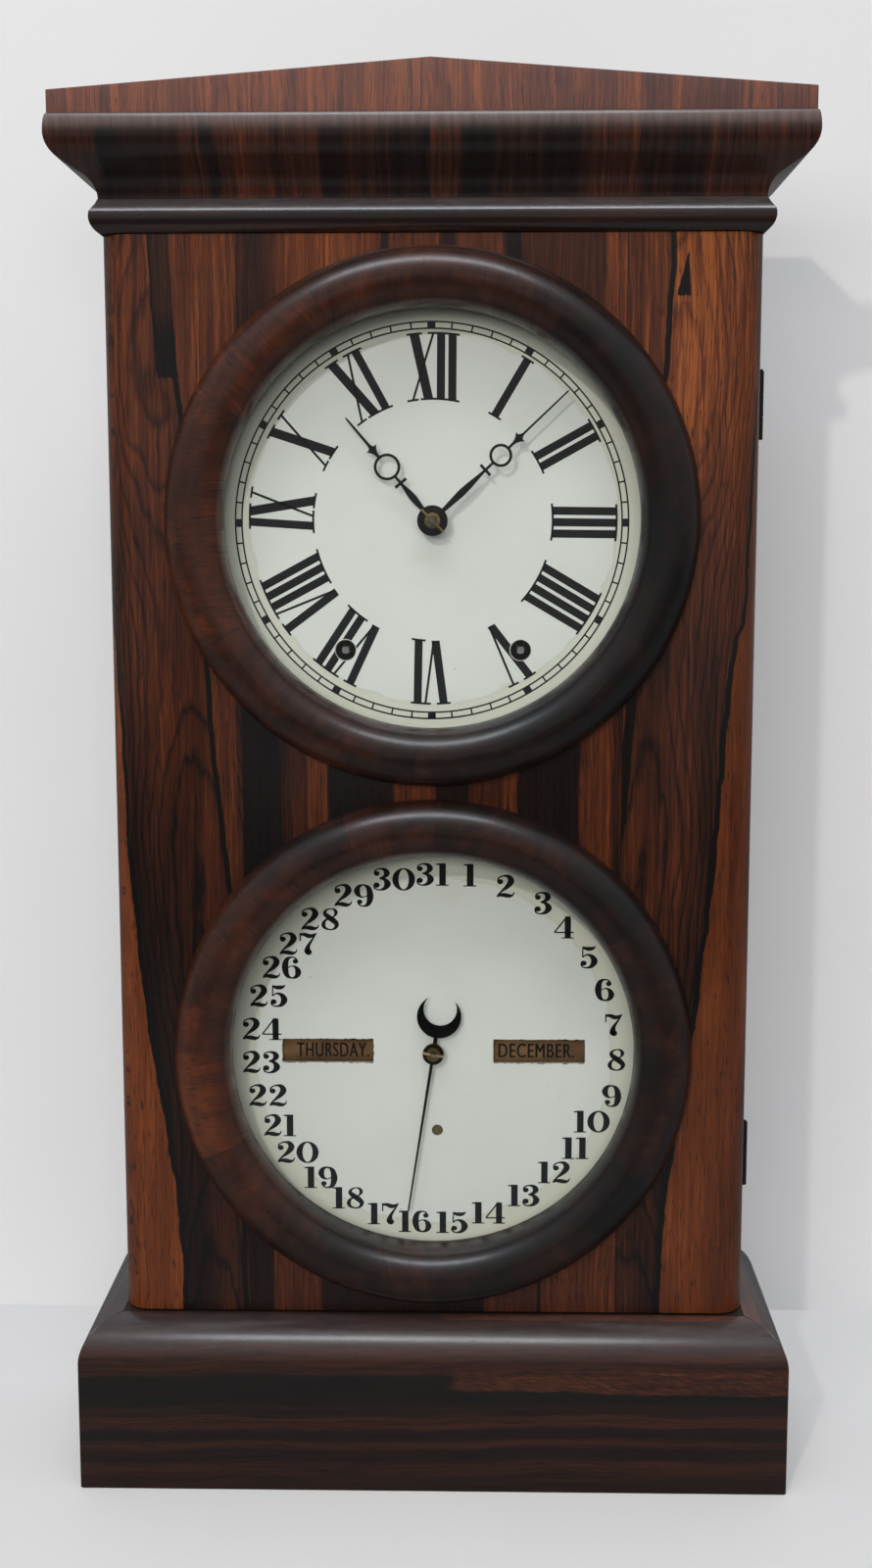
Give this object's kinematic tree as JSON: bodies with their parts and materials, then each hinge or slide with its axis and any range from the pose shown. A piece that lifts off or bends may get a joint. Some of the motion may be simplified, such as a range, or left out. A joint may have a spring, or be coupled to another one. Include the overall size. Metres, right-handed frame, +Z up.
{
  "type": "calendar clock",
  "caption": "Tall wooden shelf clock with two round dials behind one hinged door: a time dial above, and a date dial with day and month windows below.",
  "frame": {"origin": "on the floor plane, at the middle of the overall width and of the overall depth (crown front to back board)", "axes": "+Z up, -Y toward the viewer (the dials face -Y), +X to the viewer's right; the door is hinged on +X"},
  "size_m": [0.3588, 0.1226, 0.6985],
  "materials": {
    "rosewood_base": "satin dark rosewood veneer, grain along",
    "rosewood_bead": "satin dark rosewood, grain along",
    "rosewood_crown": "satin rosewood veneer strips, upright grain",
    "rosewood_side": "satin rosewood veneer, upright grain",
    "rosewood_door": "satin rosewood veneer in upright strips",
    "rosewood_ring": "satin dark rosewood veneer, grain across the ring",
    "inner_wood": "unfinished softwood",
    "dial_paint": "matt off-white paint on zinc sheet",
    "glass": "clear",
    "hinge_iron": "dark",
    "brass": "dull",
    "steel": "bare",
    "blued_steel": "blued, nearly black",
    "spring_steel": "blue-grey",
    "roller_paper": "aged brown paper"
  },
  "bodies": {
    "case": {"base_front": "rosewood_base", "base_sides": "rosewood_base", "front_rails": "inner_wood", "case_sides": "rosewood_side", "case_bottom": "inner_wood", "case_top": "inner_wood", "back_board": "inner_wood", "bead_moulding": "rosewood_bead", "crown_front": "rosewood_crown", "crown_sides": "rosewood_crown", "gable_board": "rosewood_crown", "gable_blocks": "inner_wood", "dial_cleats": "inner_wood", "dial_board": "inner_wood", "time_dial": "dial_paint", "calendar_dial": "dial_paint", "hinge_case_leaves": "hinge_iron", "movement_plates": "brass", "movement_pillars": "brass", "mainsprings": "spring_steel", "suspension_post": "brass", "gong": "spring_steel", "calendar_frame": "brass"},
    "door": {"door_panel": "rosewood_door", "time_ring": "rosewood_ring", "calendar_ring": "rosewood_ring", "sight_glasses": "glass", "glass_retainers": "inner_wood", "hinge_door_leaves": "hinge_iron", "door_catch": "brass"},
    "centre": {"centre_arbor": "steel", "hand_pin": "brass", "minute_hand": "blued_steel"},
    "hour": {"hour_wheel": "brass", "hour_hand": "blued_steel"},
    "minute_wheel": {"minute_wheel": "brass"},
    "time_great": {"time_great_wheel": "brass"},
    "time_winding": {"time_winding_arbor": "steel"},
    "time_click": {"time_click": "spring_steel"},
    "second": {"second_wheel": "brass"},
    "third": {"third_wheel": "brass"},
    "escape": {"escape_wheel": "brass"},
    "pallets": {"pallets": "steel"},
    "pendulum": {"pendulum_rod": "brass", "pendulum_bob": "brass"},
    "strike_great": {"strike_great_wheel": "brass"},
    "strike_winding": {"strike_winding_arbor": "steel"},
    "strike_click": {"strike_click": "spring_steel"},
    "pin": {"pin_wheel": "brass"},
    "locking": {"locking_wheel": "brass"},
    "warning": {"warning_wheel": "brass"},
    "fly": {"fly": "brass"},
    "hammer": {"hammer": "steel"},
    "date": {"date_arbor": "brass", "calendar_hand": "blued_steel"},
    "day": {"day_roller": "roller_paper"},
    "month": {"month_roller": "roller_paper"},
    "lever": {"calendar_lever": "steel"},
    "rod": {"link_rod": "steel"},
    "year": {"year_wheel": "brass"}
  },
  "joints": [
    {"name": "door_hinge", "type": "hinge", "parent": "case", "child": "door", "pos_m": [0.1595, -0.0183, 0.35], "axis": [0, 0, 1], "range_deg": [0, 110]},
    {"name": "centre_spin", "type": "hinge", "parent": "case", "child": "centre", "pos_m": [0, 0.0097, 0.488], "axis": [0, 1, 0], "continuous": true},
    {"name": "hour_spin", "type": "hinge", "parent": "case", "child": "hour", "pos_m": [0, 0.0097, 0.488], "axis": [0, 1, 0], "continuous": true},
    {"name": "minute_wheel_spin", "type": "hinge", "parent": "case", "child": "minute_wheel", "pos_m": [0.0144, 0.0097, 0.488], "axis": [0, 1, 0], "continuous": true},
    {"name": "second_spin", "type": "hinge", "parent": "case", "child": "second", "pos_m": [0.02698, 0.0097, 0.46089], "axis": [0, 1, 0], "continuous": true},
    {"name": "time_great_spin", "type": "hinge", "parent": "case", "child": "time_great", "pos_m": [0.0437, 0.0097, 0.424], "axis": [0, 1, 0], "continuous": true},
    {"name": "third_spin", "type": "hinge", "parent": "case", "child": "third", "pos_m": [-0.012, 0.0097, 0.50878], "axis": [0, 1, 0], "continuous": true},
    {"name": "escape_spin", "type": "hinge", "parent": "case", "child": "escape", "pos_m": [0, 0.0097, 0.52722], "axis": [0, 1, 0], "continuous": true},
    {"name": "time_winding", "type": "hinge", "parent": "time_great", "child": "time_winding", "pos_m": [0.0437, 0.0097, 0.424], "axis": [0, 1, 0], "range_deg": [-5400, 0]},
    {"name": "time_click_lift", "type": "hinge", "parent": "time_great", "child": "time_click", "pos_m": [0.0453, 0.0097, 0.44293], "axis": [0, 1, 0], "range_deg": [0, 12]},
    {"name": "pendulum_swing", "type": "hinge", "parent": "case", "child": "pendulum", "pos_m": [0, 0.0467, 0.551], "axis": [0, 1, 0], "range_deg": [-4, 4]},
    {"name": "pallets_rock", "type": "hinge", "parent": "case", "child": "pallets", "pos_m": [0, 0.0097, 0.551], "axis": [0, 1, 0], "range_deg": [-4, 4]},
    {"name": "locking_spin", "type": "hinge", "parent": "case", "child": "locking", "pos_m": [-0.04107, 0.0097, 0.48168], "axis": [0, 1, 0], "continuous": true},
    {"name": "pin_spin", "type": "hinge", "parent": "case", "child": "pin", "pos_m": [-0.03368, 0.0097, 0.46138], "axis": [0, 1, 0], "continuous": true},
    {"name": "strike_great_spin", "type": "hinge", "parent": "case", "child": "strike_great", "pos_m": [-0.0437, 0.0097, 0.424], "axis": [0, 1, 0], "continuous": true},
    {"name": "warning_spin", "type": "hinge", "parent": "case", "child": "warning", "pos_m": [-0.04402, 0.0097, 0.49842], "axis": [0, 1, 0], "continuous": true},
    {"name": "fly_spin", "type": "hinge", "parent": "case", "child": "fly", "pos_m": [-0.03879, 0.0097, 0.5128], "axis": [0, 1, 0], "continuous": true},
    {"name": "strike_winding", "type": "hinge", "parent": "strike_great", "child": "strike_winding", "pos_m": [-0.0437, 0.0097, 0.424], "axis": [0, 1, 0], "range_deg": [-5400, 0]},
    {"name": "strike_click_lift", "type": "hinge", "parent": "strike_great", "child": "strike_click", "pos_m": [-0.0247, 0.0097, 0.424], "axis": [0, 1, 0], "range_deg": [0, 12]},
    {"name": "hammer_lift", "type": "hinge", "parent": "case", "child": "hammer", "pos_m": [-0.066, 0.0097, 0.458], "axis": [0, 1, 0], "range_deg": [-8, 0]},
    {"name": "date_spin", "type": "hinge", "parent": "case", "child": "date", "pos_m": [0, 0.0097, 0.218], "axis": [0, 1, 0], "continuous": true},
    {"name": "day_spin", "type": "hinge", "parent": "case", "child": "day", "pos_m": [-0.054, -0.00263, 0.218], "axis": [1, 0, 0], "continuous": true},
    {"name": "month_spin", "type": "hinge", "parent": "case", "child": "month", "pos_m": [0.054, 0.00692, 0.218], "axis": [1, 0, 0], "continuous": true},
    {"name": "year_spin", "type": "hinge", "parent": "case", "child": "year", "pos_m": [0.03, 0.0097, 0.262], "axis": [0, 1, 0], "continuous": true},
    {"name": "rod_lift", "type": "slide", "parent": "case", "child": "rod", "axis": [0, 0, 1], "range_m": [0, 0.004]},
    {"name": "lever_lift", "type": "hinge", "parent": "case", "child": "lever", "pos_m": [-0.046, 0.0097, 0.262], "axis": [0, 1, 0], "range_deg": [-9.5, 0.5]}
  ],
  "couplings": [
    {"joint": "hour_spin", "follows": "centre_spin", "ratio": 0.083333},
    {"joint": "minute_wheel_spin", "follows": "centre_spin", "ratio": -0.33333},
    {"joint": "second_spin", "follows": "centre_spin", "ratio": -0.5},
    {"joint": "time_great_spin", "follows": "centre_spin", "ratio": 0.076923},
    {"joint": "third_spin", "follows": "centre_spin", "ratio": -9},
    {"joint": "escape_spin", "follows": "centre_spin", "ratio": 90},
    {"joint": "pallets_rock", "follows": "pendulum_swing", "ratio": 1},
    {"joint": "pin_spin", "follows": "locking_spin", "ratio": -0.125},
    {"joint": "strike_great_spin", "follows": "locking_spin", "ratio": 0.012821},
    {"joint": "warning_spin", "follows": "locking_spin", "ratio": -7.5},
    {"joint": "fly_spin", "follows": "locking_spin", "ratio": 56.25},
    {"joint": "day_spin", "follows": "date_spin", "ratio": 4.4286},
    {"joint": "month_spin", "follows": "date_spin", "ratio": 0.083333},
    {"joint": "year_spin", "follows": "date_spin", "ratio": 0.020833},
    {"joint": "lever_lift", "follows": "rod_lift", "rad_per_m": -38.462}
  ]
}
